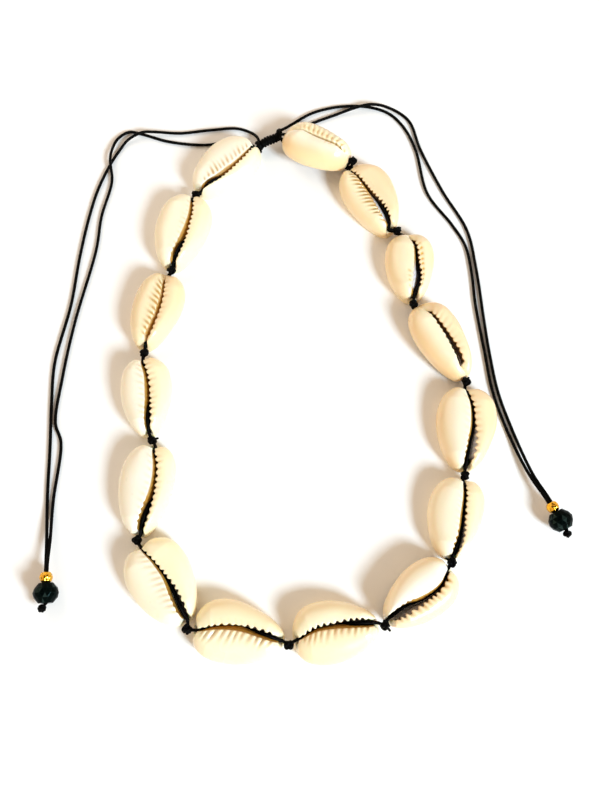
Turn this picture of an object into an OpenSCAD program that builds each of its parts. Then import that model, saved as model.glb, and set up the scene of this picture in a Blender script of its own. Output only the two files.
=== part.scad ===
// Cowrie shell necklace, laid out on a table with its slits facing up.
// Fifteen cut cowries hang on a doubled cord, a knot between each two of them.
// A sliding knot closes the loop and two doubled tails end in small beads.
// Lengths are in mm. X runs to the right, Y away from the viewer, Z up from the table.

/* [Shells] */
// Mean length of a shell from tip to tip
shell_length = 21; // [18:0.5:25]
// Width of a shell over both lips
shell_width = 14; // [11:0.5:16]
// Height of a shell from its ground back to the crest of its lips
shell_height = 6.6; // [5.6:0.1:8]
// Thickness of the shell wall
shell_wall = 1.3; // [0.9:0.1:1.7]
// Width of the slit near the pointed front of a shell
slit_front = 2.2; // [1.8:0.1:3]
// How far the slit bows toward the outer lip
slit_bow = 1.5; // [0:0.1:2]
// How far each tooth stands into the slit
tooth_depth = 0.3; // [0.1:0.05:0.4]
// Teeth along each lip
teeth = 10; // [7:1:12]
// Play between the cord and the teeth at the narrow rear end of the slit
slit_play = 0.1; // [0.05:0.01:0.2]

/* [Cord and knots] */
// Diameter of one strand of the cord
cord_d = 0.8; // [0.6:0.05:0.9]
// Diameter of a knot between two shells
knot_d = 2.2; // [1.9:0.1:2.6]
// How far the shells' tips reach in beside a knot
knot_nest = 0.1; // [0:0.05:0.15]
// Diameter of the sliding knot
slide_d = 2.4; // [2:0.1:2.8]
// Height of the lump at each end of the sliding knot
slide_end_d = 3.6; // [3:0.1:4]
// Thickness of the lump at each end of the sliding knot
slide_end_length = 1.4; // [1:0.1:1.6]

/* [Beads] */
// Diameter of the black faceted bead
black_d = 6; // [5:0.5:8]
// Length of the black faceted bead along its bore
black_length = 4.6; // [3.6:0.1:5.4]
// Facets around the black bead
black_facets = 12; // [8:2:12]
// Diameter of the gold bead
gold_d = 3; // [2.8:0.1:4]
// Bore of both beads, for two strands side by side
bead_bore = 2; // [2:0.05:2.2]
// Diameter of the knot that stops the beads
end_knot_d = 2; // [1.9:0.1:2.6]

/* [Clearances] */
// Gap between pieces that lie against each other
fit_gap = 0.15; // [0.1:0.01:0.25]

/* [Hidden] */
pitch = shell_length + knot_d - 2 * knot_nest;
strand_r = cord_d / 2;
slit_rear = cord_d + tooth_depth + 2 * slit_play;
// The two strands pass each shell's tip one above the other, over this sill.
sill_z = 0.33 * shell_height;
back_z = sill_z + fit_gap + strand_r;
front_z = back_z + cord_d + fit_gap;
knot_z = (back_z + front_z) / 2;
slide_z = slide_end_d / 2 + 4 * fit_gap;
bead_z = black_d / 2;
// Tail strands lie beside each other at this half distance.
pair_half = strand_r + fit_gap / 2;

// The loop's knots, as shares of the pitch, from the left end of the sliding knot
// down the left side, along the front and up the right side.
loop_route = [
    [-0.56, 2.82], [-1.29, 2.13], [-1.53, 1.16], [-1.78, 0.16],
    [-1.64, -0.83], [-1.74, -1.88], [-1.19, -2.76], [-0.18, -2.91],
    [0.77, -2.72], [1.47, -2.11], [1.66, -1.21], [1.73, -0.18],
    [1.2, 0.73], [1.05, 1.66], [0.55, 2.53], [-0.31, 2.95]
];

// One row for each shell:
// length as a share of shell_length, outer lip and inner lip as shares of shell_width,
// roll and yaw in degrees, its shift toward the outer lip as a share of shell_width,
// and its shift toward its own front as a share of shell_length.
LONG = 0;
OUTER = 1;
INNER = 2;
ROLL = 3;
YAW = 4;
SHIFT = 5;
ALONG = 6;
shells = [
    [1.01, 0.41, 0.56, 0, 0, -0.03, 0],
    [1.05, 0.49, 0.51, 0, 2, -0.05, 0],
    [1.02, 0.46, 0.42, 0, 0, -0.07, 0],
    [0.97, 0.46, 0.43, 0, -1, -0.05, 0],
    [1.08, 0.43, 0.50, 0, -1, 0.04, 0],
    [1.02, 0.56, 0.51, 0, 3, 0.01, 0],
    [1.01, 0.53, 0.46, 0, 2, 0.03, 0],
    [0.95, 0.53, 0.46, 0, 0, 0.03, 0],
    [0.93, 0.45, 0.45, -8, 0, 0, 0],
    [0.95, 0.42, 0.50, 0, -1, -0.03, 0],
    [1.02, 0.52, 0.51, 0, -1, 0.01, 0],
    [1.07, 0.44, 0.42, -8, 0, 0.03, 0],
    [0.91, 0.43, 0.47, 0, -7, 0.11, 0],
    [1.04, 0.57, 0.41, 0, 0, -0.12, 0],
    [0.93, 0.44, 0.51, -22, 2, -0.04, 0.02]
];
// The first shells point their front tips forward along the route, the others back.
forward_shells = 8;

// Free tails, lying on the table: chosen points up to the place where the pair
// runs side by side into its beads.
lie = 0.45;
left_a_route = [
    [-13.7, 66.7, 2.6], [-15.2, 70, 1.2], [-19, 71.7, lie], [-27, 71.2, lie],
    [-35, 70.2, lie], [-42, 70.3, 0.9], [-45.6, 69.8, 1.5], [-49.6, 67.8, 0.8],
    [-51.8, 64.6, lie], [-53.9, 60.5, lie], [-56.8, 52.5, lie], [-58.6, 44, lie],
    [-60.2, 32, lie], [-61.4, 18, lie], [-64.2, 2, lie], [-64.1, -8, lie],
    [-63.4, -20, lie], [-62.8, -34, lie]
];
left_b_route = [
    [-14.2, 65.8, 1.9], [-18, 68, 0.6], [-22.5, 67.3, lie], [-28, 66.4, lie],
    [-38, 67.4, lie], [-45.6, 69.8, lie], [-49.4, 70.6, lie], [-52.4, 68.4, 0.6],
    [-53.8, 64, 1.2], [-53.9, 60.5, 1.5], [-53.2, 55, 0.6], [-55.3, 44, lie],
    [-56, 34, lie], [-60, 13, lie], [-61.9, -2, lie], [-62.6, -14, lie],
    [-60.8, -19, lie], [-61.4, -34, lie]
];
right_a_route = [
    [-8.6, 69.5, 3.2], [-4.4, 73.2, 0.8], [2, 76.9, lie], [10, 79, lie],
    [18, 78.8, lie], [23.6, 76.6, lie], [27.6, 72, lie], [30.6, 64.6, lie],
    [33.2, 51, lie], [39.4, 41.4, lie], [42.6, 35.2, lie], [43.8, 27, lie],
    [44.2, 18.5, lie], [45.7, 5, lie], [47.1, -6, lie], [50.3, -17, lie]
];
right_b_route = [
    [-7.4, 69.1, 2.6], [-2.6, 71.9, 0.6], [2, 73.6, lie], [8.5, 76.3, lie],
    [14, 78.1, 1.2], [18, 78.9, 1.6], [22.6, 78.6, 1], [28.8, 74.6, lie],
    [31.9, 64.9, lie], [37.3, 51.8, lie], [43.3, 39.8, lie], [45, 29, lie],
    [46.2, 13, lie], [46.9, 5, lie], [48.4, -6, lie], [51.4, -16.4, lie]
];
// Centre and heading of the black bead at the end of each pair of tails.
left_drop_at = [-60.4, -55.4];
left_drop_turn = -86;
right_drop_at = [60.3, -38.6];
right_drop_turn = -63;

// The shapes of a shell, as shares of its own sizes.
lean_outer = 0.3;
lean_inner = 0.16;
lobe_power = 0.86;
slit_reach = 0.9;
crest_at = 0.32;
shoulder_at = 0.78;
rim_inset = 0.15;
// Half angle and half width of the open sill at each tip.
sill_turn = 9;
sill_half = 0.7 * cord_d;
channel_half = 1.1 * cord_d;

// Small helpers.
function clip(v, low, high) = max(low, min(high, v));
function mix(a, b, f) = a + (b - a) * f;
function unit(v) = v / norm(v);
function flat(v) = [v[0], v[1]];
function heading(v) = atan2(v[1], v[0]);
function lowest(points) = min([for (p = points) p[2]]);

// Knot k of the loop in mm, seen from above.
function knot_at(k) = pitch * loop_route[k];

// Shell i, counted from 1, lies between knots i - 1 and i.
function rear_knot(i) = i <= forward_shells ? knot_at(i - 1) : knot_at(i);
function front_knot(i) = i <= forward_shells ? knot_at(i) : knot_at(i - 1);
function row(i) = shells[i - 1];
function shell_turn(i) = heading(front_knot(i) - rear_knot(i)) + row(i)[YAW];
function chord(i) = unit(front_knot(i) - rear_knot(i));
function chord_side(i) = [-chord(i)[1], chord(i)[0]];
function shell_centre(i) =
    (rear_knot(i) + front_knot(i)) / 2 + chord(i) * row(i)[ALONG] * shell_length
    + chord_side(i) * row(i)[SHIFT] * shell_width;

// The sections stand around the slit, from the front tip over the outer lip to the
// rear tip and back over the inner lip.
per_lip = 2 * teeth + 1;
sections = 2 * per_lip + 6;
function lip_turn(j) = acos(mix(0.955, -0.955, j / (per_lip - 1)));
function section_turn(k) =
    k == 0 ? 0
    : k == 1 ? sill_turn
    : k < per_lip + 2 ? lip_turn(k - 2)
    : k == per_lip + 2 ? 180 - sill_turn
    : k == per_lip + 3 ? 180
    : k == per_lip + 4 ? 180 + sill_turn
    : k < 2 * per_lip + 5 ? 180 + lip_turn(k - per_lip - 5)
    : 360 - sill_turn;
function is_sill(k) =
    k <= 1 || k == sections - 1 || (k >= per_lip + 2 && k <= per_lip + 4);
function is_channel(k) =
    k == 2 || k == per_lip + 1 || k == per_lip + 5 || k == sections - 2;
function lip_sign(a) = a < 180 ? 1 : -1;

// Middle line and half width of the slit, t runs from the rear tip at -1 to the front at 1.
function slit_mid(t) = slit_bow * max(-0.2, 1 - pow((t + 0.2) / 1.12, 2));
function slit_open(t) =
    t < 0.6 ? pow(clip((t + 0.6) / 1.2, 0, 1), 1.3) : 1 - 0.7 * pow((t - 0.6) / 0.4, 2);
function slit_half(t) = mix(slit_rear, slit_front, slit_open(t)) / 2;
function lobe(a, lean) = pow(abs(sin(a)), lobe_power) * (1 - lean * cos(a));

// Height of the lips over a section.
function crest_z(k, a) =
    is_sill(k) ? sill_z
    : shell_height * (0.62 + 0.38 * pow(clip(abs(sin(a)) / 0.75, 0, 1), 0.8));

// One section of shell i: eight points from the lip's edge outward over the margin,
// in under the back and up to the lip's edge again.
function section(i, k) =
    let (
        a = section_turn(k),
        s = lip_sign(a),
        half_long = row(i)[LONG] * shell_length / 2,
        wide = (s > 0 ? row(i)[OUTER] : row(i)[INNER]) * shell_width,
        margin = [half_long * cos(a), s * wide * lobe(a, s > 0 ? lean_outer : lean_inner)],
        t = slit_reach * cos(a),
        tooth = is_sill(k) || is_channel(k) ? 0 : (k % 2 == 0 ? -0.5 : 0.5) * tooth_depth,
        open = k == 0 || k == per_lip + 3 ? 0
            : is_sill(k) ? sill_half
            : is_channel(k) ? max(channel_half, slit_half(t))
            : slit_half(t) + tooth,
        edge = [half_long * t, slit_mid(t) + s * open],
        span = norm(margin - edge),
        high = crest_z(k, a),
        low = high / 2,
        fall = sqrt(1 - pow((shoulder_at - crest_at) / (1 - crest_at), 2)),
        inner = rim_inset + min(shell_wall / span, 0.68),
        lip = is_sill(k) ? high / 2 : high - 1.15 * shell_wall
    )
    [
        concat(edge, 0.93 * high),
        concat(mix(edge, margin, crest_at), high),
        concat(mix(edge, margin, shoulder_at), mix(low, high, fall)),
        concat(margin, low),
        concat(mix(margin, edge, rim_inset), 0),
        concat(mix(margin, edge, inner), 0),
        concat(mix(margin, edge, inner), 0.42 * high),
        concat(edge, lip * 0.93)
    ];

// A closed ring of sections, each with n points.
function ring_faces(count, n) = [
    for (k = [0 : count - 1], j = [0 : n - 1])
        let (
            a = k * n + j,
            b = ((k + 1) % count) * n + j,
            c = ((k + 1) % count) * n + (j + 1) % n,
            d = k * n + (j + 1) % n
        )
        each [[a, b, c], [a, c, d]]
];

// Turns a point of shell i about its long axis.
function rolled(p, angle) = [
    p[0],
    p[1] * cos(angle) - p[2] * sin(angle),
    p[1] * sin(angle) + p[2] * cos(angle)
];
function shell_points(i) = [for (k = [0 : sections - 1]) each section(i, k)];
function shell_lift(i) = -lowest([for (p = shell_points(i)) rolled(p, row(i)[ROLL])]);
// A point of shell i in the necklace's frame.
function placed(i, p) =
    let (
        q = rolled(p, row(i)[ROLL]),
        turn = shell_turn(i),
        c = shell_centre(i)
    )
    [
        c[0] + q[0] * cos(turn) - q[1] * sin(turn),
        c[1] + q[0] * sin(turn) + q[1] * cos(turn),
        q[2] + shell_lift(i)
    ];

module cowrie(i) {
    points = [for (p = shell_points(i)) placed(i, p)];
    color([0.95, 0.89, 0.76])
    polyhedron(points = points, faces = ring_faces(sections, 8), convexity = 6);
}

// Round tubes swept along a few points, n sides each.
function tangent_at(path, k) =
    k == 0 ? unit(path[1] - path[0])
    : k == len(path) - 1 ? unit(path[k] - path[k - 1])
    : unit(unit(path[k] - path[k - 1]) + unit(path[k + 1] - path[k]));
function tube_ring(path, k, r, n) =
    let (
        t = tangent_at(path, k),
        side = unit([-t[1], t[0], 0]),
        rise = cross(t, side)
    )
    [for (j = [0 : n - 1]) path[k] + r * (cos(360 * (j + 0.5) / n) * side
        + sin(360 * (j + 0.5) / n) * rise)];
function tube_points(path, r, n) =
    [for (k = [0 : len(path) - 1]) each tube_ring(path, k, r, n)];
function tube_faces(count, n, start = 0) = concat(
    [for (k = [0 : count - 2], j = [0 : n - 1])
        let (
            a = start + k * n + j,
            b = start + k * n + (j + 1) % n,
            c = start + (k + 1) * n + (j + 1) % n,
            d = start + (k + 1) * n + j
        )
        each [[a, c, b], [a, d, c]]],
    [[for (j = [0 : n - 1]) start + j]],
    [[for (j = [n - 1 : -1 : 0]) start + (count - 1) * n + j]]
);

module tube(path, n) {
    polyhedron(points = tube_points(path, strand_r, n), faces = tube_faces(len(path), n));
}

// A shell that lies rolled lifts its sills, and the knots beside it rise with them.
sill_t = 0.9;
function rear_index(i) = i <= forward_shells ? i - 1 : i;
function front_index(i) = i <= forward_shells ? i : i - 1;
function sill_rise(i, k) =
    let (t = k == front_index(i) ? sill_t : -sill_t)
    max(0, shell_lift(i) + back_z * (cos(row(i)[ROLL]) - 1) + slit_mid(t) * sin(row(i)[ROLL]));
function rise_at(k) =
    k == 0 ? sill_rise(1, k)
    : k == 15 ? 0.8 * sill_rise(15, k)
    : max(sill_rise(k, k), sill_rise(k + 1, k));
function knot_point(k, z) = concat(knot_at(k), z + rise_at(k));

// Where a strand leaves knot k toward a point, clear of the knot.
function reach_at(k) =
    k == 0 ? slide_end_length / 2 + 5 * fit_gap
    : k == 15 ? 6 * fit_gap
    : knot_d / 2 + 1.4 * fit_gap;
function leaving(k, z, toward) =
    let (d = unit(flat(toward) - knot_at(k)))
    concat(knot_at(k) + d * reach_at(k), z + rise_at(k));

// Places of a strand in shell i: over the sill at each tip, and along the slit.
slit_z = 0.84 * shell_height;
function half_long(i) = row(i)[LONG] * shell_length / 2;
function in_shell(i, t, z) = placed(i, [half_long(i) * t, slit_mid(t), z]);
function over_sill(i, t, z, k) =
    in_shell(i, t, z + 0.9 * max(0, rise_at(k) - sill_rise(i, k)));

function front_strand(i) =
    let (
        r = rear_index(i),
        f = front_index(i),
        a = over_sill(i, -sill_t, front_z, r),
        b = over_sill(i, sill_t, front_z, f),
        low = mix(front_z, slit_z, 0.8)
    )
    [
        leaving(r, front_z, a),
        a,
        in_shell(i, -0.74, low),
        in_shell(i, -0.3, slit_z),
        in_shell(i, 0.3, slit_z),
        in_shell(i, 0.74, low),
        b,
        leaving(f, front_z, b)
    ];
function back_strand(i) =
    let (
        r = rear_index(i),
        f = front_index(i),
        a = over_sill(i, -sill_t, back_z, r),
        b = over_sill(i, sill_t, back_z, f)
    )
    [
        leaving(r, back_z, a),
        a,
        in_shell(i, 0, back_z),
        b,
        leaving(f, back_z, b)
    ];

// The strand that lies in the slits, one loose length through each shell.
module thread_front() {
    color([0.05, 0.05, 0.05])
    for (i = [1 : 15]) {
        tube(front_strand(i), 8);
    }
}

// The strand that runs inside the shells.
module thread_back() {
    color([0.08, 0.08, 0.08])
    for (i = [1 : 15]) {
        tube(back_strand(i), 6);
    }
}

// A small round knot: a core with one wrap around it, its axis along the cord.
module small_knot(at, turn, d) {
    translate(at)
    rotate([0, 0, turn])
    rotate([0, 90, 0])
    union() {
        sphere(d = 0.88 * d, $fn = 32);
        rotate_extrude($fn = 32)
        translate([d / 2 - strand_r, 0])
        circle(r = strand_r, $fn = 20);
    }
}
module knot(k) {
    color([0.06, 0.06, 0.06])
    small_knot(knot_point(k, knot_z), heading(knot_at(k + 1) - knot_at(k - 1)), knot_d);
}

// The sliding knot: a wrapped core between two lumps, on the chord that closes the loop.
wraps = 5;
module slide_knot() {
    a = knot_point(0, slide_z);
    b = knot_point(15, slide_z);
    long = norm(b - a);
    end_r = slide_end_length / 2;
    color([0.05, 0.05, 0.05])
    translate(a)
    rotate([0, acos((b[2] - a[2]) / long), heading(b - a)])
    union() {
        cylinder(h = long, d = slide_d * 0.8, $fn = 32);
        for (k = [1 : wraps]) {
            translate([0, 0, mix(0, long - end_r, k / (wraps + 1))])
            rotate_extrude($fn = 32)
            translate([slide_d / 2 - strand_r, 0])
            circle(r = strand_r, $fn = 20);
        }
        for (z = [0, long - end_r]) {
            translate([0, 0, z])
            rotate_extrude($fn = 32)
            translate([slide_end_d / 2 - end_r, 0])
            circle(r = end_r, $fn = 20);
        }
    }
}

// A drop is the pair's last stretch: gold bead, black bead and stopping knot in line.
gold_length = 2 * sqrt(pow(gold_d / 2, 2) - pow(bead_bore / 2, 2));
gold_back = black_length / 2 + fit_gap + gold_length / 2;
stop_ahead = black_length / 2 + 2 * fit_gap + 0.44 * end_knot_d;
function in_drop(at, turn, along, aside, z) =
    [at[0] + along * cos(turn) - aside * sin(turn), at[1] + along * sin(turn) + aside * cos(turn), z];
function drop_path(at, turn, side) = [
    in_drop(at, turn, -gold_back - gold_d * 3, side * pair_half, mix(lie, bead_z, 0.55)),
    in_drop(at, turn, -gold_back - gold_d, side * pair_half, mix(lie, bead_z, 0.95)),
    in_drop(at, turn, -gold_back - gold_length / 2, side * pair_half, bead_z),
    in_drop(at, turn, black_length / 2 + fit_gap / 2, side * pair_half, bead_z)
];

module tail(route, at, turn, side) {
    color([0.05, 0.05, 0.05])
    tube(concat(route, drop_path(at, turn, side)), 8);
}
module left_tail_a() {
    tail(left_a_route, left_drop_at, left_drop_turn, -1);
}
module left_tail_b() {
    tail(left_b_route, left_drop_at, left_drop_turn, 1);
}
module right_tail_a() {
    tail(right_a_route, right_drop_at, right_drop_turn, -1);
}
module right_tail_b() {
    tail(right_b_route, right_drop_at, right_drop_turn, 1);
}

// A round gold bead, drilled along the pair.
module gold_bead(at, turn) {
    color([0.9, 0.62, 0.16])
    translate(in_drop(at, turn, -gold_back, 0, bead_z))
    rotate([0, 0, turn])
    rotate([0, 90, 0])
    difference() {
        sphere(d = gold_d, $fn = 48);
        cylinder(h = gold_d * 2, d = bead_bore, center = true, $fn = 32);
    }
}
module gold_bead_left() {
    gold_bead(left_drop_at, left_drop_turn);
}
module gold_bead_right() {
    gold_bead(right_drop_at, right_drop_turn);
}

// A faceted black bead: a belt of facets between two smaller end faces, drilled through.
module black_bead(at, turn) {
    color([0.03, 0.04, 0.04])
    translate(in_drop(at, turn, 0, 0, bead_z))
    rotate([0, 0, turn])
    rotate([0, 90, 0])
    difference() {
        hull() {
            for (s = [-1, 1]) {
                translate([0, 0, s * (black_length / 2 - 0.05)])
                cylinder(h = 0.1, d = black_d * 0.56, center = true, $fn = black_facets);
                translate([0, 0, s * black_length * 0.14])
                rotate([0, 0, s * 90 / black_facets])
                cylinder(h = 0.1, d = black_d, center = true, $fn = black_facets);
            }
        }
        cylinder(h = black_length * 2, d = bead_bore, center = true, $fn = 32);
    }
}
module black_bead_left() {
    black_bead(left_drop_at, left_drop_turn);
}
module black_bead_right() {
    black_bead(right_drop_at, right_drop_turn);
}

// The knot that stops the beads.
module end_knot(at, turn) {
    color([0.06, 0.06, 0.06])
    small_knot(in_drop(at, turn, stop_ahead, 0, bead_z), turn, end_knot_d);
}
module end_knot_left() {
    end_knot(left_drop_at, left_drop_turn);
}
module end_knot_right() {
    end_knot(right_drop_at, right_drop_turn);
}

cowrie(1);  // cowrie_01
cowrie(2);  // cowrie_02
cowrie(3);  // cowrie_03
cowrie(4);  // cowrie_04
cowrie(5);  // cowrie_05
cowrie(6);  // cowrie_06
cowrie(7);  // cowrie_07
cowrie(8);  // cowrie_08
cowrie(9);  // cowrie_09
cowrie(10);  // cowrie_10
cowrie(11);  // cowrie_11
cowrie(12);  // cowrie_12
cowrie(13);  // cowrie_13
cowrie(14);  // cowrie_14
cowrie(15);  // cowrie_15
knot(1);  // knot_01
knot(2);  // knot_02
knot(3);  // knot_03
knot(4);  // knot_04
knot(5);  // knot_05
knot(6);  // knot_06
knot(7);  // knot_07
knot(8);  // knot_08
knot(9);  // knot_09
knot(10);  // knot_10
knot(11);  // knot_11
knot(12);  // knot_12
knot(13);  // knot_13
knot(14);  // knot_14
slide_knot();
thread_front();
thread_back();
left_tail_a();
left_tail_b();
right_tail_a();
right_tail_b();
gold_bead_left();
gold_bead_right();
black_bead_left();
black_bead_right();
end_knot_left();
end_knot_right();
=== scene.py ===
"""Cowrie shell necklace: fifteen cut cowries on a knotted black cord, laid on a pale table."""

import math

import bmesh
import bpy
from mathutils import Matrix, Vector, noise


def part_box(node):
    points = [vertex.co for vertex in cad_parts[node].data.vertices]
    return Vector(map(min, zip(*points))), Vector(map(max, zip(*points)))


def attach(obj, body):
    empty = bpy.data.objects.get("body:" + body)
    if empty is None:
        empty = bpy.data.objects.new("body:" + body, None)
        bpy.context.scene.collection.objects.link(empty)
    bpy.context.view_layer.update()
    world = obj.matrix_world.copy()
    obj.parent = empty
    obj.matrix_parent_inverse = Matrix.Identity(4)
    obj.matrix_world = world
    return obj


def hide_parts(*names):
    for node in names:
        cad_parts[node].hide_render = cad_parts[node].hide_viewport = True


bl_info = {
    "name": "Cowrie Shell Necklace",
    "version": (1, 0, 0),
    "blender": (4, 5, 0),
    "location": "View3D > Sidebar > Necklace",
    "description": "Builds a cowrie shell necklace piece by piece around its packed model",
    "category": "Object",
}

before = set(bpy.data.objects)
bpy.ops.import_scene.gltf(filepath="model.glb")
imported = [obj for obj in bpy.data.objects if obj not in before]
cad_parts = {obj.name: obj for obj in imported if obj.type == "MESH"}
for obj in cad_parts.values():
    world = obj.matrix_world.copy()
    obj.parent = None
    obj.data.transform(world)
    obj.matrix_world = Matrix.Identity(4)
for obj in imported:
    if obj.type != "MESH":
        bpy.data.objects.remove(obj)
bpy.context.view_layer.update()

MM = 0.001

# The necklace's layout, as in its source: the knots in shares of the pitch.
PITCH = 23.0
LOOP_ROUTE = [
    (-0.56, 2.82), (-1.29, 2.13), (-1.53, 1.16), (-1.78, 0.16),
    (-1.64, -0.83), (-1.74, -1.88), (-1.19, -2.76), (-0.18, -2.91),
    (0.77, -2.72), (1.47, -2.11), (1.66, -1.21), (1.73, -0.18),
    (1.2, 0.73), (1.05, 1.66), (0.55, 2.53), (-0.31, 2.95),
]
# Shells up to this one have their front at the next knot, the others at the one before.
FORWARD_SHELLS = 8

# One row for each shell, in shares of its length or width, and degrees.
SHELL_COLUMNS = ("long", "out", "in", "roll", "yaw", "shift", "along")
SHELL_ROWS = [
    (1.01, 0.41, 0.56, 0, 0, -0.03, 0),
    (1.05, 0.49, 0.51, 0, 2, -0.05, 0),
    (1.02, 0.46, 0.42, 0, 0, -0.07, 0),
    (0.97, 0.46, 0.43, 0, -1, -0.05, 0),
    (1.08, 0.43, 0.5, 0, -1, 0.04, 0),
    (1.02, 0.56, 0.51, 0, 3, 0.01, 0),
    (1.01, 0.53, 0.46, 0, 2, 0.03, 0),
    (0.95, 0.53, 0.46, 0, 0, 0.03, 0),
    (0.93, 0.45, 0.45, -8, 0, 0, 0),
    (0.95, 0.42, 0.5, 0, -1, -0.03, 0),
    (1.02, 0.52, 0.51, 0, -1, 0.01, 0),
    (1.07, 0.44, 0.42, -8, 0, 0.03, 0),
    (0.91, 0.43, 0.47, 0, -7, 0.11, 0),
    (1.04, 0.57, 0.41, 0, 0, -0.12, 0),
    (0.93, 0.44, 0.51, -22, 2, -0.04, 0.02),
]

SHELLS = range(1, len(SHELL_ROWS) + 1)

# Each slit's middle line: mm from the axis toward the outer lip, at five even
# places from the rear to the front.
SLITS = [
    (1, 1.8, 2, 1.9, 0.9), (0.9, 1.8, 1.8, 1.3, 0.4), (0.3, 1.3, 1.7, 1.4, 0.7),
    (0, 0.9, 1, 0.7, 0.3), (0.2, 1.6, 1.8, 1.2, 0.3), (0.3, 1.2, 1.5, 1.1, 0.5),
    (0, 1.2, 1.6, 0.9, 0), (0.3, 1.6, 1.6, 1.2, 0.5), (-0.1, 1.1, 0.7, -0.4, -1),
    (0, 0.6, 0.9, 1.2, 0.6), (-0.5, 0.8, 1.2, 0.9, 0.1), (0.2, 0.4, 0.5, 0, -0.5),
    (0, 1.1, 1.1, 0.9, 0), (-0.6, 0.1, 0.4, 0.6, 0.1), (-0.5, -0.7, -1.1, -1.4, -1.2),
]
# Teeth on each lip; height, start and reach of its ridges; brown in their grooves, partly
# stain and partly painted shade; little pits; notches in the inner lip's edge.
RIDGE_COLUMNS = ("teeth", "ridge_in", "start_in", "reach_in", "ridge_out", "reach_out",
                 "stain_in", "stain_out", "pits", "bite")
RIDGE_ROWS = [
    (14, 0.6, 0.08, 0.5, 0.12, 0.22, 0.75, 0.15, 0, 0),
    (14, 0.06, 0.02, 0.3, 0.2, 0.3, 0.3, 0.2, 0, 0.25),
    (13, 0.95, 0.02, 0.55, 0.3, 0.4, 1, 0.5, 0, 0.1),
    (12, 0.6, 0.05, 0.52, 0.5, 0.48, 0.3, 0.4, 0, 0.1),
    (13, 0.06, 0.05, 0.35, 0.4, 0.45, 0.3, 0.35, 0, 0.35),
    (13, 0.55, 0.06, 0.5, 0.1, 0.22, 0.35, 0.05, 0, 0.25),
    (12, 0.8, 0, 0.5, 0.25, 0.25, 0.5, 0.2, 0.1, 0.05),
    (12, 0.7, 0, 0.42, 0.25, 0.22, 0.7, 0.15, 0, 0.1),
    (12, 0.08, 0.02, 0.25, 0.6, 0.42, 0.3, 0.8, 0, 0.4),
    (13, 0.1, 0.03, 0.28, 0.25, 0.28, 0.3, 0.15, 0, 0.5),
    (12, 0.25, 0.05, 0.36, 0.45, 0.34, 0.2, 0.35, 0, 0.4),
    (13, 0.05, 0, 0.2, 0.22, 0.65, 0.1, 0.05, 0, 0.45),
    (12, 0.25, 0, 0.16, 0.12, 0.22, 0.3, 0, 1, 0.2),
    (16, 0.95, 0.03, 0.6, 0.1, 0.2, 1.4, 0, 0, 0.1),
    (13, 0.03, 0, 0.2, 0.6, 1.1, 0.1, 0.12, 0.6, 0),
]
# Peach tint; whiter (+) or yellower (-) tone of each lip, the whiter tone partly painted fill
# light on lips turned from the lamp; ends where the lips meet; extra gape of the slit in mm;
# share of it that the inner lip's slope, painted golden as shade, covers; how deep the cord
# hides behind that, how high it shows at the front and how far it leans to the outer lip there,
# in mm; how much painted light, as of the table seen through the slit, shows at either lip.
LOOK_COLUMNS = ("peach", "tone_in", "tone_out", "shut_rear", "shut_front", "gape_rear",
                "gape_front", "strip", "strip_front", "hide", "show", "lean", "pale_in",
                "pale_out")
LOOK_ROWS = [
    (0.05, 0.6, 0.1, 0, 0, -0.45, -0.25, 0.97, 0.4, 0.9, 0.91, 0.36, 0, 0),
    (0.12, 0.35, -0.25, 0, 0, -0.4, 0, 0.97, 0.45, 1, 0.9, 0.33, 0, 0),
    (0.45, -0.1, -0.6, 0.6, 0, -0.5, -0.75, 0.97, 0.92, 1, 0.55, 0.35, 0, 0),
    (0.05, 0.6, -0.25, 0, 0, -0.3, -0.45, 0.84, 0.1, 0.8, 0.8, 0.05, 0, 0),
    (0.05, 0.75, -0.25, 0, 0, -0.35, -0.1, 0.72, 0.1, 0.8, 0.82, 0.05, 0, 0),
    (0.05, 0.45, 0, 0, 0, -0.65, 0.1, 0.3, 0.1, 0.1, 0.78, 0.05, 0, 0),
    (0.35, 0.1, 0, 0, 0, -0.35, -0.35, 0.97, 0.45, 1, 0.76, 0.25, 0, 0),
    (0.45, -0.2, 0.1, 0, 0, -0.45, -0.2, 0.8, 0.2, 0.9, 0.76, 0.1, 0, 0),
    (0.7, 0.75, -0.5, 0, 0, -0.2, 0.35, 0.65, 0.08, 0, 0.78, -0.35, 0, 0.4),
    (0.5, 0.4, -0.3, 0, 0, -0.35, -0.45, 0.75, 0.1, 0.1, 0.8, -0.1, 0, 0.45),
    (0.9, 0.45, -0.45, 0, 0, -0.5, 0, 0.65, 0.08, 0, 0.8, -0.3, 0, 1),
    (1, 0.2, -0.45, 1, 1, -0.5, -0.45, 0.35, 0.2, 1, 0.3, 0.3, 0, 0),
    (0.8, 0.1, -0.25, 1, 0, -0.4, 0.1, 0.55, 0.3, 0.2, 0.84, 0.55, 0.9, 0),
    (0.7, 0.1, -0.45, 0, 0, -0.62, -0.1, 0.82, 0.7, 0.9, 0.84, 0.5, 0.9, 0),
    (1, 0.5, 0, 1, 1, -0.7, -0.7, 0.3, 0.3, 1, 0.3, 0.3, 0, 0),
]

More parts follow.
